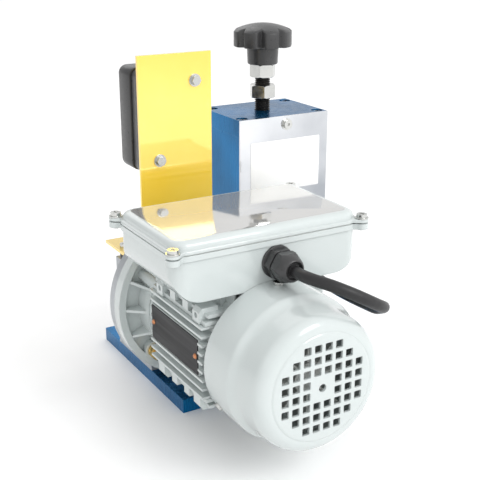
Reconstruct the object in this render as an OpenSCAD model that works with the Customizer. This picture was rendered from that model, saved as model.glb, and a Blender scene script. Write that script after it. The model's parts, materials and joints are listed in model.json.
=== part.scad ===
// Bench wire stripping machine: flange motor, worm gearbox, push-button switch and stripping head
// Frame: +Z up, X to the right, motor axis along Y, origin on the underside of the base plate

/* [Base plate] */
// Distance from the motor axis to the left edge
base_left = 39; // [36:0.5:60]
// Distance from the motor axis to the right edge
base_right = 175; // [172:1:220]
// Distance from the flange plane to the motor-side edge
base_near = 58; // [40:1:90]
// Distance from the flange plane to the operator-side edge
base_far = 132; // [105:1:180]
// Thickness
base_t = 14; // [10:0.5:20]

/* [Motor] */
// Clearance between the flange and the base plate
flange_gap = 1; // [0.5:0.5:15]
// Distance from the bolt circle to the flange's edge
flange_edge = 15; // [13:0.5:15]
// Thickness of the flange rim
flange_rim_t = 12; // [10:0.5:14]
// Thickness of the flange web
flange_web_t = 6; // [4:0.5:8]
// Radius of the flange spigot
spigot_r = 55; // [50:0.5:57]
// Height of the flange spigot
spigot_h = 3.5; // [2:0.5:4]
// Distance from the frame's core to the circle of the flange bolts
bolt_out = 8; // [6:0.5:9]
// Radius of the finned frame's round core
frame_r = 57; // [56:0.5:59]
// Length of the finned frame
frame_l = 118; // [112:1:125]
// Length of the bell between flange and frame
bell_l = 18; // [16:1:24]
// Height of the fins above the frame's core
fin_h = 6.5; // [5.5:0.5:7]
// Thickness of a fin
fin_t = 2.2; // [1.5:0.1:3]
// Distance between fins
fin_pitch = 8; // [6:0.5:10]
// Wall of the finned frame round the stator
frame_wall = 4; // [3:0.5:6]
// Radius of the rotor
rotor_r = 31.5; // [28:0.5:34]
// Length of the stator and rotor cores
core_l = 66; // [50:1:72]
// Radius of the motor shaft
shaft_r = 7.5; // [7:0.25:7.5]

/* [Fan cover] */
// How far the rim stands out from the motor frame's core
cover_out = 8; // [8:0.25:9]
// How far the front part is drawn in from the rim
cover_taper = 5.5; // [4:0.5:7]
// Length from rim to front face
cover_l = 76.1; // [74:0.1:90]
// Length of the wide part at the rim
cover_wide_l = 35.7; // [34:0.1:44]
// Sheet thickness
cover_t = 1.6; // [1:0.1:2]
// Distance of the pressed ring from the front part's side
ring_in = 12.5; // [12.5:0.5:16]
// Side of a square air hole
air_hole = 6.75; // [4:0.25:7]
// Distance between air holes
air_pitch = 10; // [8.5:0.25:10]

/* [Terminal box] */
// Width of the box across the motor
box_w = 180; // [176:1:186]
// Length of the box along the motor
box_l = 110; // [106:1:114]
// Height of the box
box_h = 42; // [40:1:50]
// Wall thickness of the box
box_wall = 3; // [2:0.5:4]
// Radius of the box's lower ends
box_round = 26; // [10:1:28]
// Height of the lid
lid_h = 10; // [9:0.5:14]
// Distance of the lid screws from the box's side
lug_out = 1; // [0.5:0.5:3]
// Thickness of the lid gasket
gasket_t = 1; // [0.5:0.1:1.5]

/* [Gearbox] */
// Half width of the housing
gear_half_w = 39; // [38:0.5:39]
// Length of the housing along the worm
gear_l = 80; // [78:0.5:84]
// Height of the housing block above the motor axis
gear_over = 17; // [15:0.5:19]
// Radius of the barrel around the worm
barrel_r = 25; // [22:0.5:25.5]
// Thickness of the input flange
input_flange_t = 10; // [9:0.5:10]
// Gear module
gear_module = 2; // [1.8:0.1:2]
// Number of wheel teeth
wheel_teeth = 27; // [26:1:27]
// Pitch radius of the worm
worm_r = 13; // [12:0.5:13]
// Width of the worm wheel
wheel_w = 10; // [8:0.5:12]
// Radius of the output shaft
out_r = 10; // [8:0.5:10]

/* [Switch] */
// Width of the yellow bracket
bracket_w = 75.6; // [72:0.2:76]
// Height of the bracket's upright leg
bracket_h = 206.6; // [196:0.2:220]
// Length of the bracket's flat leg
bracket_l = 97; // [90:1:104]
// Sheet thickness of the bracket
bracket_t = 3; // [2:0.5:4]
// Height of the spacers under the bracket
spacer_h = 10; // [9:0.5:14]
// Height of the switch box
switch_h = 98; // [92:1:108]
// Width of the switch box
switch_w = 72; // [70:0.5:74]
// Depth of the switch box's back half
switch_back_d = 20; // [16:1:24]
// Depth of the switch box's front half
switch_front_d = 28; // [26:1:32]
// Radius of a push button
button_r = 11; // [9:0.5:12]
// Travel of a push button
button_travel = 3; // [2:0.5:4]

/* [Stripping head] */
// Distance from the motor axis to the left side of the head
head_x = 65.8; // [64:0.2:68]
// Width of the head
head_w = 105; // [100:0.5:106]
// Distance from the flange plane to the head's back
head_y = 14.7; // [14:0.1:16]
// Depth of the head
head_d = 81.2; // [78:0.2:90]
// Height of the head above the base plate
head_h = 243.5; // [240:0.5:260]
// Thickness of the top block
top_t = 16.7; // [14:0.1:20]
// Thickness of a side plate
side_t = 12; // [12:0.5:13]
// How far the side plates stand back from the top block
side_inset = 1.5; // [1:0.1:2]
// Thickness of the polished back cover
rear_t = 1.5; // [1:0.1:2]
// Thickness of the front cover
front_t = 3; // [2:0.5:4]
// Radius of the feed roller
roller_r = 28; // [24:0.5:28]
// Width of the feed roller
roller_w = 30; // [20:1:40]
// Radius of the blade
blade_r = 30; // [26:0.5:30]
// Thickness of the blade
blade_t = 4; // [3:0.5:5]
// Radius of the blade's axle
axle_r = 6; // [5:0.5:8]
// Radius of the wire guide's bore
guide_r = 13; // [10:0.5:14]
// Distance from the wire line up to the blade at rest
blade_gap = 14; // [13.7:0.1:16]
// Height of the blade carriage
carriage_h = 63; // [58:1:70]
// Depth of the blade carriage
carriage_d = 52; // [44:1:56]

/* [Pressure screw] */
// Radius of the threaded rod
rod_r = 8; // [7:0.5:8]
// Width of a nut across its flats
nut_af = 24; // [22:0.5:24]
// Height of a nut
nut_h = 13; // [10:0.5:13]
// Height of the stop nut above the top block
stop_gap = 13.2; // [13:0.1:13.3]
// Radius of the star knob
knob_r = 30; // [26:0.5:34]
// Number of lobes on the knob
knob_lobes = 8; // [6:1:9]
// Height of the knob's collar
collar_h = 18; // [14:0.5:22]
// Radius of the knob's collar
collar_r = 15.5; // [13:0.5:17]
// Height of the knob above its collar
knob_h = 23; // [18:0.5:28]

/* [Motor lead] */
// Diameter of the lead
lead_d = 10; // [8:0.5:10]
// Length of a cable gland outside its wall
gland_l = 28; // [26:1:40]
// Width of a cable gland's nut across its flats
gland_af = 24; // [22:0.5:26]

/* [Fits] */
// Radial clearance of a shaft that turns in a bearing
run_gap = 0.04; // [0.02:0.01:0.1]
// Radial clearance of a fixed joint
fix_gap = 0.02; // [0.01:0.01:0.05]
// Clearance of sliding flat faces
slide_gap = 0.2; // [0.1:0.05:0.3]

/* [Hidden] */
$fn = 96;

// Overlap of cutting tools past the faces they cut
cut = 1;
// Clearance between neighbours that only pass each other
side_clear = 0.3;

// Heights and stations along the motor
base_top = base_t;
bolt_circle_r = frame_r + bolt_out;
flange_r = bolt_circle_r + flange_edge;
axis_h = flange_r + flange_gap;
axis_z = base_top + axis_h;
stator_r = frame_r - frame_wall;
fin_reach = frame_r + fin_h;
cover_r = frame_r + cover_out;
cover_nose_r = cover_r - cover_taper;
cover_ring_r = cover_nose_r - ring_in;
flange_face = 2;
flange_back = flange_face - flange_rim_t;
web_back = flange_face - flange_web_t;
bell_end = flange_back - bell_l;
frame_end = bell_end - frame_l;
core_mid = bell_end - frame_l / 2 - 5;
bearing_r = 17.5;
bearing_w = 11;
front_bearing_y = flange_back - 3;
shield_t = 10;
rear_bearing_y = frame_end - 3;
hub_end = rear_bearing_y - bearing_w - 6;
box_y = (bell_end + frame_end) / 2 - 8;
box_near = box_y - box_l / 2;
cover_rim = min(frame_end - 2, box_near - side_clear);
cover_face = cover_rim - cover_l;
cover_screw_y = cover_rim - 10;
lug_in = cover_r - cover_t - 0.2;
shaft_end = cover_face + 20;
stub_r = shaft_r - 0.5;
stub_l = 36;
fan_r = 48;
fan_hub_r = 14;
rim_w = 7;
rib_t = 2.6;
rib_count = 16;
tie_r = 5.5;
tie_circle_r = frame_r + 3;

// Gearbox stations
gear_h = axis_h + gear_over;
gear_y = flange_face + input_flange_t;
gear_far = gear_y + gear_l;
wheel_r = gear_module * wheel_teeth / 2;
center_distance = wheel_r + worm_r;
out_y = head_y + head_d / 2;
out_z = axis_z - center_distance;
tooth_clear = 1.2 * gear_module;
worm_tip = worm_r + gear_module;
worm_root = worm_r - tooth_clear;
wheel_tip = wheel_r + gear_module;
wheel_root = wheel_r - tooth_clear;
worm_bore_r = worm_tip + 1;
cavity_r = wheel_tip + 1.5;
cavity_left = -gear_half_w + 9;
cavity_right = gear_half_w - 11;
ball_r = 21;
ball_w = 12;
worm_pitch = PI * gear_module;
worm_half = 17;
worm_far_y = gear_far - 3;
worm_seg = 24;

// Head stations
head_right = head_x + head_w;
head_mid = head_x + head_w / 2;
work_x = head_mid - 2;
head_far = head_y + head_d;
head_top = base_top + head_h;
top_under = head_top - top_t;
left_out = head_x + side_inset;
left_in = left_out + side_t;
right_out = head_right - side_inset;
right_in = right_out - side_t;
side_y0 = head_y + rear_t;
side_y1 = head_far - front_t;
wire_z = out_z + roller_r;
blade_z = wire_z + blade_gap + blade_r;
carriage_z = blade_z - 16;
carriage_top = carriage_z + carriage_h;
blade_slot = 8.4;
groove_w = 20;
groove_d = 5;
groove_z = wire_z - 6;
retainer_t = 6;
foot_r = 12;
foot_h = 5;
foot_pocket = foot_h + 2 * slide_gap;
guide_z = wire_z + guide_r;
guide_wall = 7;
guide_flange = 14;
guide_y0 = out_y + roller_r + 3;
window_h = 52;
window_half = 18;

// Knob stack stations
stop_z = head_top + stop_gap;
jam_z = stop_z + nut_h + 8.1;
collar_z = jam_z + nut_h;
lobe_z = collar_z + collar_h;

// Terminal box stations
saddle_h = 2;
box_z = axis_z + frame_r + saddle_h;
gasket_z = box_z + box_h;
lid_z = gasket_z + gasket_t;
lid_top = lid_z + lid_h;
lug_x = box_w / 2 + lug_out;
lug_y = box_l / 2 + 1;
box_rim = 5;
lid_rim = 3;
gland_ring_r = 14.4;
gland_x = 4.5;
gland_z = gasket_z - box_rim - gland_ring_r - side_clear;

// Switch stations
bracket_x = -4.9;
bracket_y = 12.6;
spacer_z = base_top + gear_h;
leg_z = spacer_z + spacer_h;
switch_y = bracket_y + bracket_t;
switch_z = leg_z + 95;
switch_split = switch_y + switch_back_d;
switch_front = switch_split + switch_front_d;
switch_wall = 3;
bush_r = 8;
bush_h = 3;
bush_y = switch_split + 11;
lead_bush_x = bracket_x - 11;
mains_bush_x = bracket_x + 11;
button_x = bracket_x;
start_z = switch_z + switch_h * 0.68;
stop_button_z = switch_z + switch_h * 0.32;
button_face = switch_front + 7;
button_seat = switch_front - switch_wall - 0.3;
button_back = button_seat - 2;

// Fasteners: shank radius, head radius, head height
m6_r = 3;
m6_head_r = 5;
m6_head_h = 6;
m5_r = 2.5;
m5_head_r = 4.5;
m5_head_h = 2.8;
m8_r = 4;
m8_washer_r = bolt_out - 1.2;
m8_nut_af = 2 * (bolt_out - 1.5);

// Round bars and rings along each axis
module bar_x(r, x0, x1, y, z) {
    translate([x0, y, z]) rotate([0, 90, 0]) cylinder(r = r, h = x1 - x0);
}
module bar_y(r, y0, y1, x, z) {
    translate([x, y0, z]) rotate([-90, 0, 0]) cylinder(r = r, h = y1 - y0);
}
module bar_z(r, z0, z1, x, y) {
    translate([x, y, z0]) cylinder(r = r, h = z1 - z0);
}
module hex_z(af, z0, z1, x, y) {
    translate([x, y, z0]) cylinder(r = af / 2 / cos(30), h = z1 - z0, $fn = 6);
}
module hex_y(af, y0, y1, x, z) {
    translate([x, y0, z]) rotate([-90, 0, 0]) cylinder(r = af / 2 / cos(30), h = y1 - y0, $fn = 6);
}
module ring_x(ro, ri, x0, x1, y, z) {
    difference() {
        bar_x(ro, x0, x1, y, z);
        bar_x(ri, x0 - cut, x1 + cut, y, z);
    }
}
module ring_y(ro, ri, y0, y1, x, z) {
    difference() {
        bar_y(ro, y0, y1, x, z);
        bar_y(ri, y0 - cut, y1 + cut, x, z);
    }
}
module block(x0, x1, y0, y1, z0, z1) {
    translate([x0, y0, z0]) cube([x1 - x0, y1 - y0, z1 - z0]);
}
// Rectangle with round corners, about the origin
module round_rect(w, l, r) {
    square([w - 2 * r, l], center = true);
    square([w, l - 2 * r], center = true);
    for (sx = [-1, 1], sy = [-1, 1])
        translate([sx * (w / 2 - r), sy * (l / 2 - r)]) circle(r = r);
}
// Places on the motor's end faces: turn about the motor axis, angle 0 towards +X, 90 up
module around_motor(angle) {
    translate([0, 0, axis_z]) rotate([0, -angle, 0]) children();
}

// Places of repeated fasteners
gear_foot_x = gear_half_w - 7;
gear_foot_y = [gear_y + 6, gear_far - 6];
head_foot_y = [side_y0 + 14, side_y1 - 14];
head_foot_x = [left_out + side_t / 2, right_out - side_t / 2];
input_screw_x = gear_half_w - 11;
input_screw_z = [axis_z - 35, axis_z + 9];
panel_half = cavity_r + 2.5;
foot_depth = 8;
bolt_angles = [45, 135, 225, 315];
cover_screw_angles = [90, 210, 330];
tie_angles = [31, 149, 270];
spacer_x = [-34, 26];
spacer_y = [gear_y + 16, gear_far - 12];
switch_screw_at = [[20.3, 36.4], [-17.9, -36.1]];
rear_screw_z = [base_top + 18, base_top + 45];
rear_screw_at = [
    [head_mid + 2, head_top - 8.5],
    [head_foot_x[0], rear_screw_z[0]],
    [head_foot_x[1], rear_screw_z[1]]
];
front_screw_z = [base_top + 30, base_top + 200];
top_screw_y = [side_y0 + 7.5, side_y1 - 7.5];
fin_near = bell_end - 16;
rivet_y = [bell_end - 22, frame_end + 15];
foot_pad_y = [bell_end - 34, frame_end + 15];
plate_y = [frame_end + 11, bell_end - 18.5];
plate_z = [axis_z - 13.5, axis_z + 18.5];
rivet_z = (plate_z[0] + plate_z[1]) / 2;
plate_x = -frame_r - 5;
base_socket_d = 7;

// Base plate and its screws from below
module base_plate() {
    color("royalblue") difference() {
        block(-base_left, base_right, -base_near, base_far, 0, base_top);
        for (p = base_screw_places()) {
            bar_z(m6_r + 0.2, -cut, base_top + cut, p[0], p[1]);
            bar_z(m6_head_r + 0.5, -cut, base_socket_d, p[0], p[1]);
        }
    }
}
function base_screw_places() = concat(
    [for (sx = [-1, 1], y = gear_foot_y) [sx * gear_foot_x, y]],
    [for (x = head_foot_x, y = head_foot_y) [x, y]]
);
module base_screws() {
    color("dimgray") for (p = base_screw_places()) {
        difference() {
            bar_z(m6_head_r, base_socket_d - m6_head_h, base_socket_d, p[0], p[1]);
            hex_z(5, base_socket_d - m6_head_h - cut, base_socket_d - 3, p[0], p[1]);
        }
        bar_z(m6_r, base_socket_d, base_top + foot_depth - 0.5, p[0], p[1]);
    }
}

// Gearbox
module gearbox_housing() {
    color("lightslategray") difference() {
        union() {
            block(-gear_half_w, gear_half_w, gear_y, gear_far, base_top, base_top + gear_h);
            bar_y(barrel_r, gear_y, gear_far, 0, axis_z);
        }
        bar_y(worm_bore_r, gear_y - cut, gear_far - bearing_w - 6, 0, axis_z);
        bar_y(bearing_r + fix_gap, gear_far - bearing_w - 6 - cut, gear_far + cut, 0, axis_z);
        bar_x(cavity_r, cavity_left - cut, cavity_right, out_y, out_z);
        side_panel(-gear_half_w - cut, cavity_left, panel_half);
        bar_x(ball_r + fix_gap, cavity_right - cut, gear_half_w + cut, out_y, out_z);
        for (sx = [-1, 1], y = gear_foot_y)
            bar_z(m6_r + fix_gap, base_top - cut, base_top + foot_depth, sx * gear_foot_x, y);
        for (sx = [-1, 1], z = input_screw_z)
            bar_y(m6_r + fix_gap, gear_y - cut, gear_y + 10.5, sx * input_screw_x, z);
        for (p = side_screw_places())
            bar_x(m5_r + fix_gap, cavity_left - cut, cavity_left + 11, p[0], p[1]);
        for (x = spacer_x, y = spacer_y)
            bar_z(m6_r + fix_gap, spacer_z - 12, spacer_z + cut, x, y);
    }
}
function side_screw_places() = [for (sy = [-1, 1], sz = [-1, 1])
    [out_y + sy * (panel_half - 5), out_z + sz * (panel_half - 5)]];
module side_panel(x0, x1, half) {
    block(x0, x1, out_y - half, out_y + half, out_z - half, out_z + half);
}
module gearbox_input_flange() {
    color("lavender") difference() {
        bar_y(flange_r, flange_face, gear_y, 0, axis_z);
        bar_y(spigot_r + fix_gap, flange_face - cut, flange_face + spigot_h, 0, axis_z);
        bar_y(worm_bore_r, flange_face, gear_y + cut, 0, axis_z);
        for (a = bolt_angles)
            around_motor(a) bar_y(m8_r + fix_gap, flange_face - cut, gear_y + cut, bolt_circle_r, 0);
        for (sx = [-1, 1], z = input_screw_z) {
            bar_y(m6_r + 0.2, flange_face, gear_y + cut, sx * input_screw_x, z);
            bar_y(m6_head_r + 0.5, flange_face, flange_face + spigot_h + 3.2, sx * input_screw_x, z);
        }
    }
}
module gearbox_side_cover() {
    color("silver") difference() {
        union() {
            side_panel(-gear_half_w, cavity_left, panel_half - 0.1);
            bar_x(ball_r + 5, cavity_left, cavity_left + ball_w, out_y, out_z);
        }
        bar_x(ball_r + fix_gap, cavity_left, cavity_left + ball_w + cut, out_y, out_z);
        bar_x(out_r + 1, cavity_left - 4, cavity_left + cut, out_y, out_z);
        for (p = side_screw_places()) {
            bar_x(m5_r + 0.2, -gear_half_w - cut, cavity_left + cut, p[0], p[1]);
            bar_x(m5_head_r + 0.3, -gear_half_w - cut, -gear_half_w + 4, p[0], p[1]);
        }
    }
}
module gearbox_cover_screws() {
    color("dimgray") {
        for (p = side_screw_places()) {
            difference() {
                bar_x(m5_head_r, -gear_half_w + 4 - m5_head_h, -gear_half_w + 4, p[0], p[1]);
                bar_x(1.8, -gear_half_w - cut, -gear_half_w + 2.4, p[0], p[1]);
            }
            bar_x(m5_r, -gear_half_w + 4, cavity_left + 10, p[0], p[1]);
        }
        for (sx = [-1, 1], z = input_screw_z) {
            bar_y(m6_head_r, flange_face + spigot_h + 0.2, flange_face + spigot_h + 3.2,
                  sx * input_screw_x, z);
            bar_y(m6_r, flange_face + spigot_h + 3.2, gear_y + 10, sx * input_screw_x, z);
        }
    }
}
module worm_end_cap() {
    color("black") {
        bar_y(bearing_r - 0.1, gear_far - 5.5, gear_far, 0, axis_z);
        bar_y(bearing_r + 4, gear_far, gear_far + 3, 0, axis_z);
    }
}
// Helical thread of the worm: a trapezoid carried round the motor axis, in step at the wheel's top
function thread_profile() = [
    [worm_root - 0.4, -0.72 * gear_module], [worm_tip, -0.3 * gear_module],
    [worm_tip, 0.3 * gear_module], [worm_root - 0.4, 0.72 * gear_module]
];
function thread_ring(i, n) = let(
    a = 180 + (i - n / 2) * 360 / worm_seg,
    y = out_y + worm_pitch * (a - 180) / 360
) [for (p = thread_profile()) [p[0] * sin(a), y + p[1], axis_z + p[0] * cos(a)]];
module worm_thread() {
    turns = floor(2 * worm_half / worm_pitch);
    n = turns * worm_seg;
    points = [for (i = [0:n]) each thread_ring(i, n)];
    sides = [for (i = [0:n - 1], k = [0:3]) let(a = 4 * i + k, b = 4 * i + (k + 1) % 4)
        each [[a, b, a + 4], [b, b + 4, a + 4]]];
    caps = [[0, 2, 1], [0, 3, 2], [4 * n, 4 * n + 1, 4 * n + 2], [4 * n, 4 * n + 2, 4 * n + 3]];
    polyhedron(points = points, faces = concat(sides, caps));
}
module worm() {
    sleeve_y = gear_y + 2;
    color("darkgray") difference() {
        union() {
            bar_y(worm_root, sleeve_y, out_y + worm_half + 2, 0, axis_z);
            bar_y(shaft_r, out_y + worm_half, worm_far_y - 3, 0, axis_z);
            worm_thread();
        }
        bar_y(stub_r + fix_gap, sleeve_y - cut, flange_face + stub_l + 1, 0, axis_z);
    }
}
// Worm wheel with a tooth gap at its top, where the worm's thread lies
module wheel_outline() {
    step = 360 / wheel_teeth;
    root_half = atan(0.75 * gear_module / wheel_root);
    tip_half = atan(0.3 * gear_module / wheel_tip);
    polygon([for (i = [0:wheel_teeth - 1]) let(a = (i + 0.5) * step)
        each [
            wheel_root * [cos(a - root_half), sin(a - root_half)],
            wheel_tip * [cos(a - tip_half), sin(a - tip_half)],
            wheel_tip * [cos(a + tip_half), sin(a + tip_half)],
            wheel_root * [cos(a + root_half), sin(a + root_half)]
        ]]);
}
module worm_wheel() {
    color("peru") difference() {
        union() {
            translate([-wheel_w / 2, out_y, out_z]) rotate([0, 90, 0]) rotate(180)
                linear_extrude(wheel_w) wheel_outline();
            bar_x(out_r + 6, cavity_left + ball_w + 1, cavity_right - 2, out_y, out_z);
        }
        bar_x(out_r + fix_gap, -gear_half_w, gear_half_w, out_y, out_z);
    }
}
module output_shaft() {
    color("silver") bar_x(out_r, cavity_left - 3, right_out - 1, out_y, out_z);
}
function ball_places() = [cavity_left, cavity_right - ball_w + 11, left_out, right_in + side_t - ball_w];
module shaft_bearings() {
    color("gainsboro") for (x = ball_places())
        ring_x(ball_r, out_r + run_gap, x, x + ball_w, out_y, out_z);
}

// Motor
module motor_frame() {
    fin_n = 4;
    pad_x = -plate_x;
    color("gainsboro") difference() {
        union() {
            bar_y(frame_r, frame_end, bell_end, 0, axis_z);
            intersection() {
                bar_y(fin_reach + 12, frame_end + 2, fin_near, 0, axis_z);
                union() {
                    for (i = [-fin_n:fin_n], s = [0, 1]) mirror([s, 0, 0])
                        block(-fin_reach, -frame_r + 22, frame_end + 2, fin_near,
                              axis_z + i * fin_pitch - fin_t / 2, axis_z + i * fin_pitch + fin_t / 2);
                    for (i = [-fin_n:fin_n], s = [-1, 1])
                        block(i * fin_pitch - fin_t / 2, i * fin_pitch + fin_t / 2,
                              frame_end + 2, fin_near,
                              s > 0 ? axis_z + frame_r - 22 : axis_z - fin_reach + 2,
                              s > 0 ? box_z - 0.5 : axis_z - frame_r + 22);
                    frame_rails();
                }
            }
            block(-pad_x, -frame_r + 10, plate_y[0] - 1, plate_y[1] + 1, plate_z[0] - 1, plate_z[1] + 1);
            block(-38, 38, box_y - 36, box_y + 36, axis_z + frame_r - 16, box_z);
            for (a = tie_angles) around_motor(a) bar_y(tie_r, bell_end - 14, bell_end, tie_circle_r, 0);
        }
        bar_y(stator_r + fix_gap, frame_end - cut, bell_end + cut, 0, axis_z);
        block(-pad_x - 10, -pad_x, plate_y[0] - 1, plate_y[1] + 1, plate_z[0] - 1, plate_z[1] + 1);
        for (y = rivet_y) bar_x(1.5 + fix_gap, -pad_x - cut, -pad_x + 4, y, rivet_z);
        for (y = foot_pad_y, s = [-1, 1])
            bar_x(2.5, s * (frame_r + 7) - 4, s * (frame_r + 7) + 4, y, axis_z + frame_r - 17);
        bar_z(11, axis_z + stator_r - 6, box_z + cut, 0, box_y);
    }
}
// Corner rails of the frame with square pads, where feet could be bolted on
module frame_rails() {
    for (s = [0, 1], t = [0, 1]) mirror([s, 0, 0]) translate([0, 0, axis_z]) mirror([0, 0, t]) {
        block(-frame_r, -frame_r + 23, frame_end + 2, fin_near, frame_r - 17, frame_r - 14);
        block(-frame_r - 3, -frame_r + 13, frame_end + 2, fin_near, frame_r - 23.5, frame_r - 20);
        for (y = foot_pad_y) block(-frame_r - 5, -frame_r + 13, y - 6, y + 6, frame_r - 23.5, frame_r - 10);
        for (y = [bell_end - 56, frame_end + 38])
            block(-frame_r - 3, -frame_r + 11, y - 5, y + 5, frame_r - 21, frame_r - 12);
    }
}
module motor_front_endshield() {
    color("gainsboro") difference() {
        union() {
            difference() {
                bar_y(flange_r, flange_back, flange_face, 0, axis_z);
                bar_y(flange_r - rim_w, flange_back - cut, web_back, 0, axis_z);
            }
            bar_y(spigot_r, flange_face - 1, flange_face + spigot_h, 0, axis_z);
            bar_y(frame_r + 1, bell_end, web_back + 1, 0, axis_z);
            for (i = [0:rib_count - 1]) if (i % 4 != 2) around_motor(i * 360 / rib_count) endshield_rib();
            for (a = bolt_angles) around_motor(a) bar_y(9, flange_back - 2, web_back + 1, bolt_circle_r, 0);
            for (a = tie_angles) around_motor(a) bar_y(tie_r, bell_end, web_back + 1, tie_circle_r, 0);
        }
        difference() {
            bar_y(stator_r - 1, bell_end - cut, web_back, 0, axis_z);
            bar_y(bearing_r + 7, bell_end - cut, web_back + cut, 0, axis_z);
        }
        bar_y(bearing_r + fix_gap, bell_end - cut, front_bearing_y, 0, axis_z);
        bar_y(shaft_r + 1.5, front_bearing_y - cut, flange_face + spigot_h + cut, 0, axis_z);
        for (a = bolt_angles)
            around_motor(a) bar_y(m8_r + 0.3, flange_back - 2 - cut, flange_face + cut, bolt_circle_r, 0);
    }
}
// Gusset between the bell and the flange rim, drawn radius across and motor length up
module endshield_rib() {
    r0 = frame_r - 1;
    r1 = flange_r - rim_w + 1;
    translate([0, 0, -rib_t / 2]) linear_extrude(rib_t)
        polygon([[r0, bell_end + 4], [r1, flange_back + 1], [r1, web_back + 1], [r0, web_back + 1]]);
}
module motor_rear_endshield() {
    color("gainsboro") difference() {
        union() {
            bar_y(frame_r, frame_end - shield_t, frame_end, 0, axis_z);
            bar_y(bearing_r + 7, hub_end, frame_end, 0, axis_z);
            for (a = cover_screw_angles) around_motor(a) intersection() {
                block(frame_r - 8, lug_in, cover_screw_y - 7, frame_end - shield_t + 1, -7, 7);
                bar_y(lug_in, cover_screw_y - 8, frame_end, 0, 0);
            }
        }
        bar_y(bearing_r + fix_gap, rear_bearing_y - bearing_w, frame_end + cut, 0, axis_z);
        bar_y(shaft_r + 1.5, hub_end - cut, frame_end, 0, axis_z);
        for (a = cover_screw_angles)
            around_motor(a) bar_x(2 + fix_gap, frame_r - 4, lug_in + cut, cover_screw_y, 0);
    }
}
module flange_bolts() {
    color("goldenrod") for (a = bolt_angles) around_motor(a) translate([bolt_circle_r, 0, 0]) {
        bar_y(m8_r, flange_back - 13, gear_y - 0.5, 0, 0);
        bar_y(m8_washer_r, flange_back - 4, flange_back - 2, 0, 0);
        rotate([0, 30, 0]) hex_y(m8_nut_af, flange_back - 10, flange_back - 3, 0, 0);
    }
}
module stator_core() {
    slots = 24;
    color("dimgray") difference() {
        ring_y(stator_r, rotor_r + 0.4, core_mid - core_l / 2, core_mid + core_l / 2, 0, axis_z);
        for (i = [0:slots - 1]) around_motor(i * 360 / slots)
            block(rotor_r + 3, rotor_r + 13, core_mid - core_l, core_mid + core_l, -1.6, 1.6);
    }
}
module stator_windings() {
    color("chocolate") for (s = [-1, 1]) translate([0, core_mid + s * (core_l / 2 + 6), 0])
        ring_y(stator_r - 5, rotor_r + 4, -6, 6, 0, axis_z);
}
module rotor_core() {
    color("darkgray")
        ring_y(rotor_r, shaft_r + fix_gap, core_mid - core_l / 2, core_mid + core_l / 2, 0, axis_z);
}
module motor_shaft() {
    color("silver") {
        bar_y(shaft_r, shaft_end, flange_face, 0, axis_z);
        bar_y(stub_r, flange_face, flange_face + stub_l, 0, axis_z);
    }
}
module motor_bearings() {
    color("gainsboro") {
        for (y = [front_bearing_y - bearing_w, rear_bearing_y - bearing_w])
            ring_y(bearing_r, shaft_r + run_gap, y, y + bearing_w, 0, axis_z);
        ring_y(bearing_r, shaft_r + run_gap, worm_far_y - 3 - bearing_w, worm_far_y - 3, 0, axis_z);
    }
}
module cooling_fan() {
    blades = 8;
    back = hub_end - 5;
    color("lightgray") difference() {
        union() {
            bar_y(fan_hub_r, shaft_end - 2, back, 0, axis_z);
            bar_y(fan_r - 6, back - 2, back, 0, axis_z);
            for (i = [0:blades - 1]) around_motor(i * 360 / blades)
                block(fan_hub_r - 2, fan_r, shaft_end, back, -1, 1);
        }
        bar_y(shaft_r + fix_gap, shaft_end, back + cut, 0, axis_z);
    }
}
// Half section of the fan cover, radius across and distance from the rim up
module cover_section(inset) {
    nose = 12;
    r0 = cover_r - inset;
    r1 = cover_nose_r - inset;
    end = cover_l - inset;
    step = cover_wide_l + 12;
    polygon(concat(
        [[0, -(inset > 0 ? cut : 0)], [r0, -(inset > 0 ? cut : 0)], [r0, cover_wide_l]],
        [for (a = [15:15:90]) [r0 - 2.5 * (1 - cos(a)), cover_wide_l + 2.5 * sin(a)]],
        [[r1 + 1, step]],
        [for (a = [0:10:90]) [r1 - nose + nose * cos(a), end - nose + nose * sin(a)]],
        [[0, end]]
    ));
}
module fan_cover() {
    holes = 4;
    color("gainsboro") difference() {
        translate([0, cover_rim, axis_z]) rotate([90, 0, 0]) rotate_extrude() cover_section(0);
        translate([0, cover_rim, axis_z]) rotate([90, 0, 0]) rotate_extrude() cover_section(cover_t);
        ring_y(cover_ring_r, cover_ring_r - 1.6, cover_face - cut, cover_face + 0.7, 0, axis_z);
        bar_y(3.4, cover_face - cut, cover_face + 5, 0, axis_z);
        for (i = [-holes:holes - 1], j = [-holes:holes - 1])
            if (is_air_hole(i + 0.5, j + 0.5))
                translate([(i + 0.5) * air_pitch, cover_face + 2, axis_z + (j + 0.5) * air_pitch])
                    cube([air_hole, 8, air_hole], center = true);
        for (a = cover_screw_angles) around_motor(a) bar_x(2.3, frame_r, cover_r + cut, cover_screw_y, 0);
    }
}
// Air holes fill a disc, apart from the four places around the middle hole
function is_air_hole(u, v) = let(d = u * u + v * v) d > 1 && d < 14.6;
module fan_cover_screws() {
    color("silver") for (a = cover_screw_angles) around_motor(a) {
        bar_x(2, frame_r - 2, cover_r, cover_screw_y, 0);
        difference() {
            bar_x(4, cover_r, cover_r + 2.6, cover_screw_y, 0);
            block(cover_r + 1.6, cover_r + 4, cover_screw_y - 3, cover_screw_y + 3, -0.5, 0.5);
        }
    }
}
module nameplate() {
    color("black") difference() {
        block(plate_x - 1, plate_x, plate_y[0], plate_y[1], plate_z[0], plate_z[1]);
        for (y = rivet_y) bar_x(1.5 + fix_gap, plate_x - 1 - cut, plate_x + cut, y, rivet_z);
    }
}
module nameplate_rivets() {
    color("chocolate") for (y = rivet_y) translate([plate_x - 1, y, rivet_z]) rotate([0, -90, 0]) {
        translate([0, 0, -4.8]) cylinder(r = 1.5, h = 5.3);
        cylinder(r1 = 2.6, r2 = 1.6, h = 1.3);
    }
}

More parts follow.
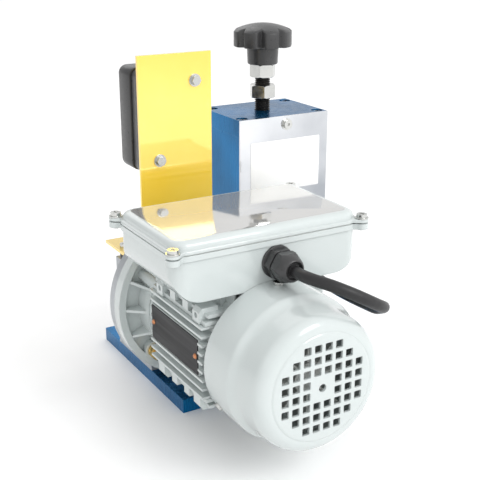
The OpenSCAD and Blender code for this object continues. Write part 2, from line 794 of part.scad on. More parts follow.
// Terminal box with the two capacitors
module box_form(inset) {
    w = box_w - 2 * inset;
    l = box_l - 2 * inset;
    z0 = box_z + inset;
    z1 = box_z + box_h + (inset > 0 ? cut : 0);
    r = box_round - inset;
    intersection() {
        translate([0, box_y, z0]) linear_extrude(z1 - z0) round_rect(w, l, 14 - inset);
        translate([0, box_y + l, 0]) rotate([90, 0, 0]) linear_extrude(2 * l) union() {
            translate([-w / 2, z0 + r]) square([w, z1 - z0 - r]);
            translate([-w / 2 + r, z0]) square([w - 2 * r, r + 1]);
            for (s = [-1, 1]) translate([s * (w / 2 - r), z0 + r]) circle(r = r);
        }
    }
}
module at_lugs() {
    for (sx = [-1, 1], sy = [-1, 1]) translate([sx * lug_x, box_y + sy * lug_y, 0]) children();
}
// Outline of the rim with its four screw ears
module rim_outline() {
    reach = lug_x - box_w / 2 + 12;
    round_rect(box_w + 4, box_l + 4, 16);
    for (sx = [-1, 1], sy = [-1, 1]) translate([sx * lug_x, sy * lug_y]) {
        circle(r = 6);
        rotate(sx > 0 ? (sy > 0 ? 215 : 145) : (sy > 0 ? -35 : 35)) translate([0, -5]) square([reach, 10]);
    }
}
module terminal_box() {
    color("gainsboro") difference() {
        union() {
            box_form(0);
            translate([0, box_y, gasket_z - box_rim]) linear_extrude(box_rim) rim_outline();
        }
        box_form(box_wall);
        at_lugs() bar_z(m5_r + fix_gap, gasket_z - box_rim - cut, gasket_z + cut, 0, 0);
        bar_z(11, box_z - cut, box_z + box_wall + cut, 0, box_y);
        bar_y(10.2, box_near - cut, box_near + box_wall + cut, gland_x, gland_z);
    }
}
module terminal_lid() {
    color("lightgray") difference() {
        union() {
            translate([0, box_y, lid_z]) linear_extrude(lid_rim) rim_outline();
            lid_crown();
        }
        translate([0, box_y, lid_z - cut]) linear_extrude(lid_h - 2 + cut)
            round_rect(box_w - 2 * box_wall - 2, box_l - 2 * box_wall - 2, 11);
        at_lugs() bar_z(m5_r + 0.2, lid_z - cut, lid_z + lid_rim + cut, 0, 0);
    }
}
// Raised part of the lid with round upper edges
module lid_crown() {
    intersection() {
        translate([0, box_y, lid_z + 2]) linear_extrude(lid_h - 2) round_rect(box_w, box_l, 14);
        translate([0, box_y + box_l, 0]) rotate([90, 0, 0]) linear_extrude(2 * box_l) crown_section(box_w);
        translate([-box_w, box_y, 0]) rotate([90, 0, 90]) linear_extrude(2 * box_w) crown_section(box_l);
    }
}
module crown_section(w) {
    r = 4;
    translate([-w / 2, lid_z]) square([w, lid_h - r]);
    translate([-w / 2 + r, lid_z]) square([w - 2 * r, lid_h]);
    for (s = [-1, 1]) translate([s * (w / 2 - r), lid_top - r]) circle(r = r);
}
module lid_gasket() {
    color("dimgray") translate([0, box_y, gasket_z]) linear_extrude(gasket_t) difference() {
        round_rect(box_w + 2, box_l + 2, 15);
        round_rect(box_w - 2 * box_wall - 2, box_l - 2 * box_wall - 2, 11);
    }
}
module lid_screws() {
    color("white") at_lugs() {
        ear_z = lid_z + lid_rim;
        bar_z(m5_r, gasket_z - box_rim - 1.5, ear_z, 0, 0);
        difference() {
            union() {
                bar_z(6, ear_z, ear_z + 1, 0, 0);
                bar_z(4.6, ear_z + 1, ear_z + 4, 0, 0);
            }
            block(-3, 3, -0.6, 0.6, ear_z + 3, ear_z + 5);
            block(-0.6, 0.6, -3, 3, ear_z + 3, ear_z + 5);
        }
    }
}
// Capacitors lie along the box's far wall, under the lid
cap_floor = box_z + box_wall + 0.1;
start_cap_r = (box_h - box_wall - 3) / 2;
run_cap_r = start_cap_r - 3;
cap_y = box_y + box_l / 2 - box_wall - start_cap_r - 1;
module start_capacitor() {
    r = start_cap_r;
    color("black") {
        bar_x(r, -62, 8, cap_y, cap_floor + r);
        bar_x(r - 3, 8, 10, cap_y, cap_floor + r);
    }
}
module run_capacitor() {
    r = run_cap_r;
    color("white") {
        bar_x(r, 14, 60, cap_y, cap_floor + r);
        bar_x(r - 3, 60, 62, cap_y, cap_floor + r);
    }
}
module terminal_block() {
    color("saddlebrown") difference() {
        block(-24, 24, box_y - 30, box_y - 14, box_z + box_wall, box_z + box_wall + 14);
        for (i = [-2:2], j = [18, 26])
            bar_z(2, box_z + box_wall + 4, box_z + box_wall + 14 + cut, i * 9, box_y - j);
    }
}

// Cable gland on the terminal box, and the closed cable bushes under the switch box
module at_gland() {
    translate([gland_x, box_near, gland_z]) rotate([90, 0, 0]) children();
}
module gland_bodies() {
    color("black") {
        for (x = [lead_bush_x, mains_bush_x]) {
            bar_z(bush_r, switch_z - bush_h, switch_z, x, bush_y);
            bar_z(bush_r - 2, switch_z - 1, switch_z + switch_wall + 1, x, bush_y);
        }
        at_gland() difference() {
            union() {
                translate([0, 0, -10]) cylinder(r = 10, h = 10 + gland_l - 8);
                cylinder(r = gland_ring_r, h = 2);
                translate([0, 0, 2]) cylinder(r = gland_af / 2 / cos(30), h = 8, $fn = 6);
                translate([0, 0, -box_wall - 5]) cylinder(r = 11, h = 5);
            }
            translate([0, 0, -10 - cut]) cylinder(r = lead_d / 2 + 1, h = 10 + gland_l);
        }
    }
}
module gland_nuts() {
    hex_h = gland_l - 20;
    hex_r = gland_af / 2 / cos(30);
    color("black") at_gland() difference() {
        union() {
            translate([0, 0, 12]) cylinder(r = hex_r, h = hex_h, $fn = 6);
            translate([0, 0, 12 + hex_h])
                cylinder(r1 = gland_af / 2 - 0.4, r2 = lead_d / 2 + 3, h = gland_l - 12 - hex_h);
        }
        translate([0, 0, 12 - cut]) cylinder(r = 10 + fix_gap, h = gland_l - 8 - 12 + cut + 0.1);
    }
}

// Motor lead: out of the terminal box, round a hanging loop, and up into the switch box
lead_path = [
    [4.5, -178, 176.3], [4.5, -187.5, 176.3], [6.9, -199.7, 176.2], [15.1, -213.5, 174.2],
    [27.3, -223.4, 168.8], [40.5, -227.2, 161.5], [52.8, -225.4, 154.2], [63.2, -219.2, 147.9],
    [71.5, -210.2, 142.5], [78.1, -200.2, 136.8], [81.3, -188.4, 131.3], [82.7, -175.1, 129.3],
    [82.8, -161.5, 128.4], [82.8, -147.9, 127.8], [82.9, -134.3, 127.5], [83.1, -120.7, 127.6],
    [82.4, -107.1, 128], [81.4, -93.8, 130.7], [79.3, -80.9, 134.6], [76, -68.4, 138.7],
    [72.3, -56, 143.1], [68.6, -43.3, 146.7], [65.4, -30.4, 150.5], [62.5, -17.4, 154.9],
    [61.4, -3.4, 157.7], [59.4, 11, 156.8], [54.7, 23.4, 152.3], [47.3, 32.3, 146.2],
    [37.5, 38.3, 141.2], [25.7, 42.5, 139], [11.5, 45.6, 141.2], [-4.5, 47.5, 151.4],
    [-15.4, 47.5, 172.3], [-16, 46.8, 195.7], [-15.9, 46.6, 208], [-15.9, 46.6, 214]
];
module motor_lead() {
    color("black") tube(lead_path, lead_d / 2, 10);
}
// A direction that the lead never runs along, to turn its rings by
lead_aside = [1, 1, 1];
function unit(v) = v / norm(v);
function path_dir(p, i) = unit(p[min(i + 1, len(p) - 1)] - p[max(i - 1, 0)]);
function tube_ring(p, i, r, sides) = let(
    d = path_dir(p, i),
    u = unit(cross(d, lead_aside)),
    v = cross(u, d)
) [for (k = [0:sides - 1]) p[i] + r * (u * cos(k * 360 / sides) + v * sin(k * 360 / sides))];
module tube(p, r, sides) {
    n = len(p);
    points = [for (i = [0:n - 1]) each tube_ring(p, i, r, sides)];
    walls = [for (i = [0:n - 2], k = [0:sides - 1])
        let(a = i * sides + k, b = i * sides + (k + 1) % sides)
        each [[a, a + sides, b], [b, a + sides, b + sides]]];
    ends = [for (k = [1:sides - 2]) each [[0, k, k + 1],
        [(n - 1) * sides, (n - 1) * sides + k + 1, (n - 1) * sides + k]]];
    polyhedron(points = points, faces = concat(walls, ends));
}

// Yellow bracket and push-button box
module switch_bracket() {
    x0 = bracket_x - bracket_w / 2;
    x1 = bracket_x + bracket_w / 2;
    color("gold") difference() {
        union() {
            block(x0, x1, bracket_y, bracket_y + bracket_t, leg_z, leg_z + bracket_h);
            block(x0, x1, bracket_y, bracket_y + bracket_l, leg_z, leg_z + bracket_t);
        }
        for (x = spacer_x, y = spacer_y) bar_z(m6_r + 0.2, leg_z - cut, leg_z + bracket_t + cut, x, y);
        for (p = switch_screw_at)
            bar_y(m5_r + 0.2, bracket_y - cut, switch_y + cut,
                  bracket_x + p[0], switch_z + switch_h / 2 + p[1]);
    }
}
module bracket_spacers() {
    color("black") for (x = spacer_x, y = spacer_y) difference() {
        bar_z(5, spacer_z, leg_z, x, y);
        bar_z(m6_r + 0.2, spacer_z - cut, leg_z + cut, x, y);
    }
}
module bracket_screws() {
    color("silver") for (x = spacer_x, y = spacer_y) {
        bar_z(m6_r, spacer_z - 11, leg_z + bracket_t, x, y);
        difference() {
            bar_z(m6_head_r, leg_z + bracket_t, leg_z + bracket_t + 3.5, x, y);
            hex_z(4, leg_z + bracket_t + 1.5, leg_z + bracket_t + 5, x, y);
        }
    }
}
module switch_half(y0, y1, inset) {
    translate([bracket_x, y1, switch_z + switch_h / 2]) rotate([90, 0, 0])
        linear_extrude(y1 - y0) round_rect(switch_w - 2 * inset, switch_h - 2 * inset, 7 - inset);
}
module switch_box_back() {
    color("dimgray") difference() {
        union() {
            switch_half(switch_y, switch_split - 2, 1.2);
            switch_half(switch_split - 2, switch_split, 3.2);
        }
        switch_half(switch_y + switch_wall, switch_split + cut, switch_wall + 2.5);
        for (p = switch_screw_at)
            bar_y(m5_r + fix_gap, switch_y - cut, switch_y + switch_wall + cut,
                  bracket_x + p[0], switch_z + switch_h / 2 + p[1]);
    }
}
module switch_box_front() {
    color("dimgray") difference() {
        switch_half(switch_split, switch_front, 0);
        switch_half(switch_split - cut, switch_front - switch_wall, switch_wall);
        for (z = [start_z, stop_button_z])
            bar_y(button_r + 0.3, switch_front - switch_wall - cut, switch_front + cut, button_x, z);
        for (x = [lead_bush_x, mains_bush_x])
            bar_z(bush_r - 2 + fix_gap, switch_z - cut, switch_z + switch_wall + cut, x, bush_y);
    }
}
module switch_contacts() {
    color("beige") for (z = [start_z, stop_button_z])
        block(button_x - 14, button_x + 14, switch_y + switch_wall, button_back - button_travel - 0.5,
              z - 12, z + 12);
}
module push_button(z) {
    bar_y(button_r, button_seat - 1, button_face, button_x, z);
    bar_y(button_r + 2, button_back, button_seat, button_x, z);
}
module start_button() {
    color("green") push_button(start_z);
}
module stop_button() {
    color("red") push_button(stop_button_z);
}
module switch_screws() {
    color("silver") for (p = switch_screw_at) {
        x = bracket_x + p[0];
        z = switch_z + switch_h / 2 + p[1];
        bar_y(m5_r, bracket_y - 5, switch_y + switch_wall + 4, x, z);
        bar_y(6, bracket_y - 1, bracket_y, x, z);
        hex_y(8, bracket_y - 5, bracket_y - 1, x, z);
    }
}

// Stripping head
module side_plate(outer, inner, rear_z) {
    x0 = min(outer, inner);
    difference() {
        block(x0, x0 + side_t, side_y0, side_y1, base_top, top_under);
        bar_x(ball_r + fix_gap, x0 - cut, x0 + side_t + cut, out_y, out_z);
        block(inner - groove_d, inner + groove_d, out_y - groove_w / 2, out_y + groove_w / 2,
              groove_z, top_under + cut);
        for (y = head_foot_y)
            bar_z(m6_r + fix_gap, base_top - cut, base_top + foot_depth, x0 + side_t / 2, y);
        for (y = top_screw_y) bar_z(m6_r + fix_gap, top_under - 16, top_under + cut, x0 + side_t / 2, y);
        bar_y(m5_r + fix_gap, side_y0 - cut, side_y0 + 12, x0 + side_t / 2, rear_z);
        for (z = front_screw_z) bar_y(m5_r + fix_gap, side_y1 - 12, side_y1 + cut, x0 + side_t / 2, z);
    }
}
module head_left_plate() {
    color("royalblue") {
        side_plate(left_out, left_in, rear_screw_z[0]);
        block(head_x, left_out, side_y0, side_y0 + 6, base_top, top_under);
    }
}
module head_right_plate() {
    color("royalblue") {
        side_plate(right_out, right_in, rear_screw_z[1]);
        block(right_out, head_right, side_y0, side_y0 + 6, base_top, top_under);
    }
}
module head_top_block() {
    color("royalblue") difference() {
        block(head_x, head_right, side_y0, head_far, top_under, head_top);
        bar_z(rod_r + run_gap, top_under - cut, head_top + cut, work_x, out_y);
        for (x = head_foot_x, y = top_screw_y) {
            bar_z(m6_r + 0.2, top_under - cut, head_top + cut, x, y);
            bar_z(m6_head_r + 1, head_top - base_socket_d, head_top + cut, x, y);
        }
        bar_y(m5_r + fix_gap, side_y0 - cut, side_y0 + 12, rear_screw_at[0][0], rear_screw_at[0][1]);
    }
}
module head_top_screws() {
    color("silver") for (x = head_foot_x, y = top_screw_y) {
        bar_z(m6_r, top_under - 15, head_top - base_socket_d, x, y);
        difference() {
            bar_z(m6_head_r, head_top - base_socket_d, head_top - base_socket_d + m6_head_h, x, y);
            hex_z(5, head_top - base_socket_d + 3, head_top, x, y);
        }
    }
}
module head_rear_cover() {
    color("whitesmoke") difference() {
        block(head_x, head_right, head_y, side_y0, base_top + 1, head_top);
        block(work_x - window_half, work_x + window_half, head_y - cut, side_y0 + cut,
              wire_z - 4, wire_z + window_h);
        for (p = rear_screw_at) bar_y(m5_r + 0.2, head_y - cut, side_y0 + cut, p[0], p[1]);
    }
}
module head_front_cover() {
    color("whitesmoke") difference() {
        block(head_x, head_right, side_y1, head_far, base_top + 1, top_under);
        bar_y(guide_r + guide_wall + 0.1, side_y1 - cut, head_far + cut, work_x, guide_z);
        for (x = head_foot_x, z = front_screw_z) bar_y(m5_r + 0.2, side_y1 - cut, head_far + cut, x, z);
    }
}
// Cover screw with a washer, its head towards -Y
module cover_screw() {
    bar_y(6, -1, 0, 0, 0);
    difference() {
        bar_y(m5_head_r, -1 - m5_head_h, -1, 0, 0);
        hex_y(3, -2 - m5_head_h, -2.2, 0, 0);
    }
    bar_y(m5_r, 0, 12, 0, 0);
}
module head_cover_screws() {
    color("silver") {
        for (p = rear_screw_at) translate([p[0], head_y, p[1]]) cover_screw();
        for (x = head_foot_x, z = front_screw_z) translate([x, head_far, z]) mirror([0, 1, 0]) cover_screw();
    }
}
module wire_guide() {
    color("darkgray") difference() {
        union() {
            bar_y(guide_r + guide_wall, guide_y0, head_far, work_x, guide_z);
            bar_y(guide_r + guide_flange, head_far, head_far + 5, work_x, guide_z);
        }
        bar_y(guide_r, guide_y0 - cut, head_far + 5 + cut, work_x, guide_z);
    }
}
// Straight-knurled roller
module feed_roller() {
    teeth = 60;
    depth = 0.9;
    color("dimgray") difference() {
        translate([work_x - roller_w / 2, out_y, out_z]) rotate([0, 90, 0]) linear_extrude(roller_w)
            polygon([for (i = [0:2 * teeth - 1]) let(a = i * 180 / teeth, r = roller_r - depth * (i % 2))
                r * [cos(a), sin(a)]]);
        bar_x(out_r + fix_gap, work_x - roller_w, work_x + roller_w, out_y, out_z);
    }
}
module blade_carriage() {
    x0 = left_in + slide_gap;
    x1 = right_in - slide_gap;
    tongue = groove_w / 2 - slide_gap;
    reach = groove_d - slide_gap;
    color("slategray") difference() {
        union() {
            block(x0, x1, out_y - carriage_d / 2, out_y + carriage_d / 2, carriage_z, carriage_top);
            block(left_in - reach, right_in + reach, out_y - tongue, out_y + tongue,
                  carriage_z, carriage_top);
        }
        block(work_x - blade_slot / 2, work_x + blade_slot / 2, out_y - carriage_d, out_y + carriage_d,
              carriage_z - cut, blade_z + blade_r + 3);
        bar_x(axle_r + fix_gap, work_x - 25, work_x + 25, out_y, blade_z);
        bar_z(foot_r + 0.5, carriage_top - foot_pocket, carriage_top + cut, work_x, out_y);
    }
}
module blade_axle() {
    color("silver") bar_x(axle_r, work_x - 24.5, work_x + 24.5, out_y, blade_z);
}
module blade_disc() {
    hub_half = blade_slot / 2 - slide_gap;
    color("lightsteelblue") difference() {
        translate([work_x, out_y, blade_z]) rotate([0, 90, 0]) rotate_extrude() polygon([
            [0, -hub_half], [axle_r + 5, -hub_half], [axle_r + 5, -blade_t / 2], [blade_r - 6, -blade_t / 2],
            [blade_r, -0.2], [blade_r, 0.2], [blade_r - 6, blade_t / 2], [axle_r + 5, blade_t / 2],
            [axle_r + 5, hub_half], [0, hub_half]
        ]);
        bar_x(axle_r + run_gap, work_x - blade_slot, work_x + blade_slot, out_y, blade_z);
    }
}
module screw_retainer() {
    color("silver") difference() {
        block(work_x - 22, work_x + 22, out_y - 18, out_y + 18, carriage_top, carriage_top + retainer_t);
        bar_z(rod_r + run_gap, carriage_top - cut, carriage_top + retainer_t + cut, work_x, out_y);
    }
}
module pressure_screw() {
    foot_z = carriage_top - foot_pocket + slide_gap;
    color("black") {
        bar_z(foot_r, foot_z, foot_z + foot_h, work_x, out_y);
        bar_z(rod_r, foot_z + foot_h, collar_z + 14, work_x, out_y);
    }
}
module screw_nuts() {
    color("white") for (z = [stop_z, jam_z])
        translate([work_x, out_y, z]) rotate(z == stop_z ? 8 : -12) screw_nut();
}
module screw_nut() {
    difference() {
        intersection() {
            cylinder(r = nut_af / 2 / cos(30), h = nut_h, $fn = 6);
            nut_chamfer();
        }
        translate([0, 0, -cut]) cylinder(r = rod_r + fix_gap, h = nut_h + 2 * cut);
    }
}
module nut_chamfer() {
    e = nut_af / 2 / cos(30);
    rotate_extrude()
        polygon([[0, 0], [e - 1.4, 0], [e, 0.9], [e, nut_h - 0.9], [e - 1.4, nut_h], [0, nut_h]]);
}
// Star knob: lobes and hollows round a disc, under a domed top
module star_outline() {
    lobe = PI * knob_r / knob_lobes * 0.55;
    difference() {
        union() {
            circle(r = knob_r - lobe * 0.75);
            for (i = [0:knob_lobes - 1])
                rotate(i * 360 / knob_lobes) translate([knob_r - lobe, 0]) circle(r = lobe);
        }
        for (i = [0:knob_lobes - 1])
            rotate((i + 0.5) * 360 / knob_lobes) translate([knob_r + 0.5, 0]) circle(r = lobe * 0.62);
    }
}
module knob_crown() {
    rim = knob_h * 0.68;
    dome = knob_h - rim;
    ball = (knob_r * knob_r + dome * dome) / (2 * dome);
    intersection() {
        translate([0, 0, knob_h - ball]) sphere(r = ball, $fn = 128);
        cylinder(r = knob_r + 1, h = knob_h);
    }
}
module star_knob() {
    color("black") translate([work_x, out_y, 0]) difference() {
        union() {
            translate([0, 0, collar_z]) cylinder(r1 = collar_r, r2 = collar_r + 0.8, h = collar_h + 1);
            translate([0, 0, lobe_z]) intersection() {
                rotate(10) linear_extrude(knob_h) star_outline();
                knob_crown();
            }
        }
        translate([0, 0, collar_z - cut]) cylinder(r = rod_r + fix_gap, h = 15 + cut);
    }
}

base_plate();
base_screws();
gearbox_housing();
gearbox_input_flange();
gearbox_side_cover();
gearbox_cover_screws();
worm_end_cap();
worm();
worm_wheel();
output_shaft();
shaft_bearings();
motor_frame();
motor_front_endshield();
motor_rear_endshield();
flange_bolts();
stator_core();
stator_windings();
rotor_core();
motor_shaft();
motor_bearings();
cooling_fan();
fan_cover();
fan_cover_screws();
nameplate();
nameplate_rivets();
terminal_box();
terminal_lid();
lid_gasket();
lid_screws();
start_capacitor();
run_capacitor();
terminal_block();
gland_bodies();
gland_nuts();
motor_lead();
switch_bracket();
bracket_spacers();
bracket_screws();
switch_box_back();
switch_box_front();
switch_contacts();
start_button();
stop_button();
switch_screws();
head_left_plate();
head_right_plate();
head_top_block();
head_top_screws();
head_rear_cover();
head_front_cover();
head_cover_screws();
wire_guide();
feed_roller();
blade_carriage();
blade_axle();
blade_disc();
screw_retainer();
pressure_screw();
screw_nuts();
star_knob();
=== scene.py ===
"""Looks of a bench wire stripping machine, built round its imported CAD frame.

Lengths are in mm, apart from the camera, the floor and the lights, which are in metres.
"""
import json
import math

import bmesh
import bpy
from mathutils import Matrix, Vector


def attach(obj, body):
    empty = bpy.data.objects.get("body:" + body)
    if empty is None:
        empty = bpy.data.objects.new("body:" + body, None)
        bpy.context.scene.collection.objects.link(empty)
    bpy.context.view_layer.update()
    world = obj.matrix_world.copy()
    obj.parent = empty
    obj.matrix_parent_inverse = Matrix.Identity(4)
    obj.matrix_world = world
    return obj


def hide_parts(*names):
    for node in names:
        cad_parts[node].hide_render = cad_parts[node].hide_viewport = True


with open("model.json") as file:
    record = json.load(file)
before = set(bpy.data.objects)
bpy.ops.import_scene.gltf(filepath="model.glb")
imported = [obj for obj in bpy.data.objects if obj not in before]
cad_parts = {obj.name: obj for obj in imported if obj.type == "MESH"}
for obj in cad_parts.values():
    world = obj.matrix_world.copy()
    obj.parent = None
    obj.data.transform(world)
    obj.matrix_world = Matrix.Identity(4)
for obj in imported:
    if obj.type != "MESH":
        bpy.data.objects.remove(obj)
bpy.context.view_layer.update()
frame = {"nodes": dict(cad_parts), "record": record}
nodes = frame["nodes"]
scene = bpy.context.scene

MM = 0.001
X_AXIS = Vector((1, 0, 0))
Y_AXIS = Vector((0, 1, 0))
Z_AXIS = Vector((0, 0, 1))
SHARP_ANGLE = math.radians(32)

# Places and sizes from the part's source
AXIS_Z = 95
WORK_X = 116.3
WORK_Y = 55.3
BOX_Y = -95
BOX_NEAR = -150
GLAND_X = 4.5
GLAND_Z = 176.3
SWITCH_X = -4.9
SWITCH_MID_Z = 266
SWITCH_W = 72
SWITCH_H = 98
BUSH_Y = 46.6
BUSH_OFFSET = 11
BUTTON_Z = (283.64, 248.36)
COVER_RIM = -150.3


# Camera at the photograph's viewing angle
def make_camera():
    place = Vector((-0.3839, -0.7549, 0.4449))
    right = Vector((0.8634, -0.5045, 0.0)).normalized()
    ahead = Vector((0.4765, 0.8154, -0.3289)).normalized()
    up = right.cross(ahead).normalized()
    data = bpy.data.cameras.new("camera")
    data.sensor_width = 36
    data.lens = 69.2
    camera = bpy.data.objects.new("camera", data)
    axes = Matrix((right, up, -ahead)).transposed().to_4x4()
    camera.matrix_world = Matrix.Translation(place) @ axes
    scene.collection.objects.link(camera)
    scene.camera = camera


# Motor lead: the same route as its CAD solid, drawn as one smooth curve
LEAD_D = 10
LEAD_STEPS = 6
LEAD_ROUTE = (
    (4.5, -178, 176.3), (4.5, -187.5, 176.3), (6.9, -199.7, 176.2), (15.1, -213.5, 174.2),
    (27.3, -223.4, 168.8), (40.5, -227.2, 161.5), (52.8, -225.4, 154.2), (63.2, -219.2, 147.9),
    (71.5, -210.2, 142.5), (78.1, -200.2, 136.8), (81.3, -188.4, 131.3), (82.7, -175.1, 129.3),
    (82.8, -161.5, 128.4), (82.8, -147.9, 127.8), (82.9, -134.3, 127.5), (83.1, -120.7, 127.6),
    (82.4, -107.1, 128), (81.4, -93.8, 130.7), (79.3, -80.9, 134.6), (76, -68.4, 138.7),
    (72.3, -56, 143.1), (68.6, -43.3, 146.7), (65.4, -30.4, 150.5), (62.5, -17.4, 154.9),
    (61.4, -3.4, 157.7), (59.4, 11, 156.8), (54.7, 23.4, 152.3), (47.3, 32.3, 146.2),
    (37.5, 38.3, 141.2), (25.7, 42.5, 139), (11.5, 45.6, 141.2), (-4.5, 47.5, 151.4),
    (-15.4, 47.5, 172.3), (-16, 46.8, 195.7), (-15.9, 46.6, 208), (-15.9, 46.6, 214),
)


def smooth_route(points, steps):
    """A smooth curve through the points."""
    known = [Vector(p) * MM for p in points]
    ends = [2 * known[0] - known[1], *known, 2 * known[-1] - known[-2]]
    route = []
    for a, b, c, d in zip(ends, ends[1:], ends[2:], ends[3:]):
        for k in range(steps):
            t = k / steps
            route.append(0.5 * (2 * b + (c - a) * t + (2 * a - 5 * b + 4 * c - d) * t ** 2
                                + (3 * b - a - 3 * c + d) * t ** 3))
    return route + [known[-1]]


def make_lead():
    route = smooth_route(LEAD_ROUTE, LEAD_STEPS)
    data = bpy.data.curves.new("motor_lead_cord", "CURVE")
    data.dimensions = "3D"
    data.bevel_depth = LEAD_D / 2 * MM
    data.bevel_resolution = 6
    data.use_fill_caps = True
    spline = data.splines.new("POLY")
    spline.points.add(len(route) - 1)
    for point, place in zip(spline.points, route):
        point.co = (*place, 1)
    lead = bpy.data.objects.new("motor_lead_cord", data)
    scene.collection.objects.link(lead)
    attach(lead, "root")
    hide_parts("motor_lead")
    return lead


# Materials. The mix numbers are the sockets of a mix node that blends colours
MIX_FACTOR = 0
MIX_FIRST = 6
MIX_SECOND = 7
MIX_RESULT = 2
WEAR_AND_HIGHLIGHT_SCALE = 160


def noise(tree, vector, scale, detail):
    node = tree.nodes.new("ShaderNodeTexNoise")
    node.inputs["Scale"].default_value = scale
    node.inputs["Detail"].default_value = detail
    tree.links.new(vector, node.inputs["Vector"])
    return node.outputs["Fac"]


def spread(tree, value, low, high, start=0.3, stop=0.7):
    node = tree.nodes.new("ShaderNodeMapRange")
    node.inputs["From Min"].default_value = start
    node.inputs["From Max"].default_value = stop
    node.inputs["To Min"].default_value = low
    node.inputs["To Max"].default_value = high
    tree.links.new(value, node.inputs["Value"])
    return node.outputs["Result"]


def mix_colours(tree, factor, first, second):
    node = tree.nodes.new("ShaderNodeMix")
    node.data_type = "RGBA"
    tree.links.new(factor, node.inputs[MIX_FACTOR])
    for place, colour in ((MIX_FIRST, first), (MIX_SECOND, second)):
        if isinstance(colour, tuple):
            node.inputs[place].default_value = (*colour, 1)
        else:
            tree.links.new(colour, node.inputs[place])
    return node.outputs[MIX_RESULT]


def edge_mask(tree, rounded):
    """One on an edge and none on a flat face, from how far the rounded normal leans."""
    geometry = tree.nodes.new("ShaderNodeNewGeometry")
    lean = tree.nodes.new("ShaderNodeVectorMath")
    lean.operation = "DOT_PRODUCT"
    tree.links.new(rounded, lean.inputs[0])
    tree.links.new(geometry.outputs["Normal"], lean.inputs[1])
    return spread(tree, lean.outputs["Value"], low=1.0, high=0.0, start=0.8, stop=0.985)


def make_material(name, dark, light, rough, metallic=0.0, coat=0.0, ior=1.5, patch=20, grain=700,
                  bump=0.05, brushed=(1, 1, 1), edge=None, radius=0.7, wear_and_highlight=0.5):
    """Two tones in soft patches, uneven gloss, fine grain, and a lighter edge tone that is partly wear
    where the finish is thin and partly a painted highlight.
    """
    made = bpy.data.materials.new(name)
    made.use_nodes = True
    tree = made.node_tree
    shader = tree.nodes["Principled BSDF"]
    shader.inputs["Metallic"].default_value = metallic
    shader.inputs["IOR"].default_value = ior
    shader.inputs["Coat Weight"].default_value = coat
    shader.inputs["Coat Roughness"].default_value = 0.06
    place = tree.nodes.new("ShaderNodeTexCoord").outputs["Object"]
    mapping = tree.nodes.new("ShaderNodeMapping")
    mapping.inputs["Scale"].default_value = brushed
    tree.links.new(place, mapping.inputs["Vector"])
    streaked = mapping.outputs["Vector"]
    bevel = tree.nodes.new("ShaderNodeBevel")
    bevel.samples = 4
    bevel.inputs["Radius"].default_value = radius * MM
    tone = mix_colours(tree, spread(tree, noise(tree, place, patch, detail=4), 0, 1), dark, light)
    fine = noise(tree, streaked, grain, detail=3)
    # Edge tone: partly wear where the finish is thin, partly a painted highlight along every rounded edge
    if edge:
        wear_and_highlight_mask = tree.nodes.new("ShaderNodeMath")
        wear_and_highlight_mask.operation = "MULTIPLY"
        tree.links.new(edge_mask(tree, bevel.outputs["Normal"]), wear_and_highlight_mask.inputs[0])
        tree.links.new(spread(tree, noise(tree, place, WEAR_AND_HIGHLIGHT_SCALE, detail=3), 0, wear_and_highlight), wear_and_highlight_mask.inputs[1])
        tone = mix_colours(tree, wear_and_highlight_mask.outputs["Value"], tone, edge)
    tree.links.new(tone, shader.inputs["Base Color"])
    gloss = noise(tree, streaked, grain / 6, detail=4)
    tree.links.new(spread(tree, gloss, *rough), shader.inputs["Roughness"])
    dents = tree.nodes.new("ShaderNodeBump")
    dents.inputs["Strength"].default_value = bump
    dents.inputs["Distance"].default_value = 0.3 * MM
    tree.links.new(fine, dents.inputs["Height"])
    tree.links.new(bevel.outputs["Normal"], dents.inputs["Normal"])
    tree.links.new(dents.outputs["Normal"], shader.inputs["Normal"])
    return made
